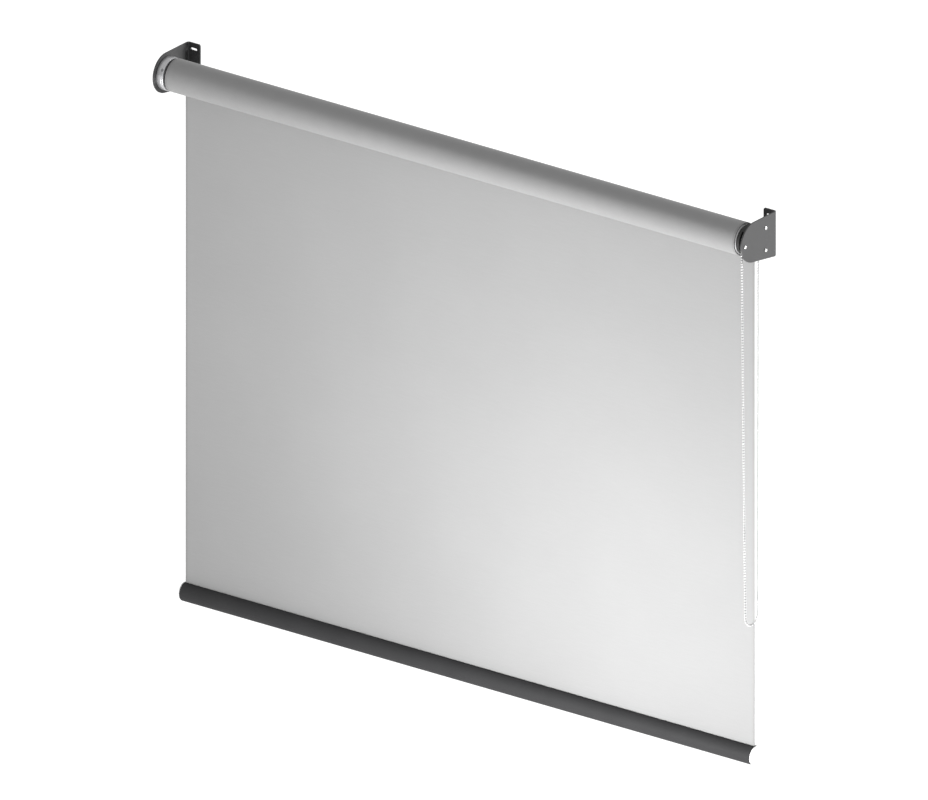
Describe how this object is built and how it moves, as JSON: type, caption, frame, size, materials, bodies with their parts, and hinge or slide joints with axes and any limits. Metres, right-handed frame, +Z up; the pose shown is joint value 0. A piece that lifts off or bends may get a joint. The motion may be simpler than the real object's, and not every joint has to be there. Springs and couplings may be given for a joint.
{
  "type": "roller blind",
  "caption": "Wall-mounted roller blind: chain-driven tube between two sheet-metal brackets, with grey fabric hanging from the back of the roll to a round weighted bottom bar.",
  "frame": {"origin": "on the wall plane, midway between the two brackets, level with the roller's axis", "axes": "+X along the roller towards the chain end, +Y back into the wall, +Z up"},
  "size_m": [1.48, 0.1185, 1.1915],
  "materials": {
    "bracket": "dark grey powder coat, matt",
    "bright_steel": "polished",
    "steel": "plain",
    "aluminium": "extruded",
    "housing": "silver, satin",
    "black_plastic": "moulded, black",
    "white_plastic": "moulded, off-white",
    "fabric": "fine plain weave, coated, light grey",
    "bar": "anthracite powder coat, matt"
  },
  "bodies": {
    "root": {"left_bracket": "bracket", "right_bracket": "bracket", "drive_mount_plate": "bracket", "drive_screw_1": "bright_steel", "drive_screw_2": "bright_steel", "drive_screw_3": "bright_steel", "drive_core": "black_plastic", "core_clip": "steel", "chain_guard": "black_plastic", "idle_housing": "housing", "idle_screw_1": "bright_steel", "idle_screw_2": "bright_steel", "idle_screw_3": "bright_steel", "idle_lock_screw": "steel", "idle_bearing": "steel", "chain_loop": "bright_steel", "chain_wrap": "bright_steel", "fabric_sheet": "fabric"},
    "roller": {"roller_tube": "aluminium", "fabric_roll": "fabric", "fabric_strip": "white_plastic", "drive_crown": "black_plastic", "idle_plug": "black_plastic", "idle_axle": "steel"},
    "wheel": {"chain_wheel": "black_plastic", "brake_spring_1": "steel", "brake_spring_2": "steel"},
    "hem_bar": {"bottom_bar": "bar", "bar_cap_left": "white_plastic", "bar_cap_right": "white_plastic", "hem_spline": "white_plastic", "ballast_rod": "steel"}
  },
  "joints": [
    {"name": "roller_spin", "type": "hinge", "parent": "root", "child": "roller", "pos_m": [0, -0.076, 0], "axis": [1, 0, 0], "range_deg": [0, 1800]},
    {"name": "bar_lift", "type": "slide", "parent": "root", "child": "hem_bar", "axis": [0, 0, 1], "range_m": [0, 1.0685], "deforming": ["fabric_sheet"]},
    {"name": "chain_wheel_spin", "type": "hinge", "parent": "root", "child": "wheel", "pos_m": [0, -0.076, 0], "axis": [1, 0, 0], "range_deg": [0, 1801]}
  ],
  "couplings": [
    {"joint": "bar_lift", "follows": "roller_spin", "m_per_rad": 0.034},
    {"joint": "chain_wheel_spin", "follows": "roller_spin", "ratio": 1}
  ]
}
